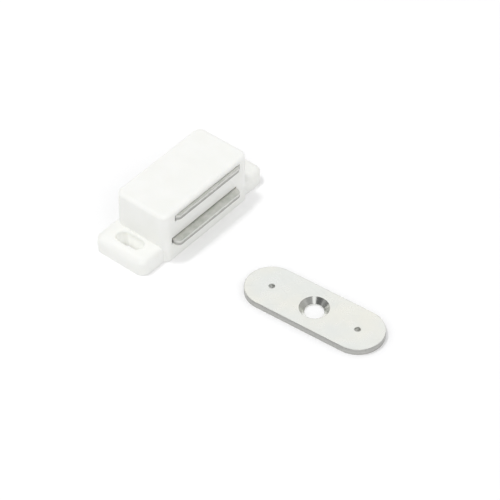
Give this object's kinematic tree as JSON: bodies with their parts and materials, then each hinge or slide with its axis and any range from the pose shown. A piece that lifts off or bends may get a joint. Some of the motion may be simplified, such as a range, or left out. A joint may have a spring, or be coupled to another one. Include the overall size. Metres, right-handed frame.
{
  "type": "magnetic catch",
  "caption": "Magnetic cupboard catch: white moulded housing with slotted ears, a magnet between sliding steel pole plates, and a loose countersunk steel strike plate.",
  "frame": {"origin": "on the mounting face, under the middle of the housing", "axes": "+X along the catch from ear to ear, -Y the way the poles face, +Z away from the panel the catch is screwed to; the strike plate lies flat in front of the poles on the plane of the mounting face"},
  "size_m": [0.047, 0.076, 0.0152],
  "materials": {
    "housing_plastic": "white moulded plastic, soft gloss",
    "pole_steel": "plain rolled steel with sheared edges",
    "magnet_ferrite": "matt dark ferrite",
    "strike_steel": "nickel plated, satin, with fine scratches"
  },
  "bodies": {
    "case": {"housing": "housing_plastic", "magnet": "magnet_ferrite", "strike_plate": "strike_steel"},
    "lower_pole": {"pole_plate_lower": "pole_steel"},
    "upper_pole": {"pole_plate_upper": "pole_steel"}
  },
  "joints": [
    {"name": "lower_pole_slide", "type": "slide", "parent": "case", "child": "lower_pole", "axis": [0, -1, 0], "range_m": [-0.0014, 0]},
    {"name": "upper_pole_slide", "type": "slide", "parent": "case", "child": "upper_pole", "axis": [0, -1, 0], "range_m": [0, 0.0014]}
  ]
}
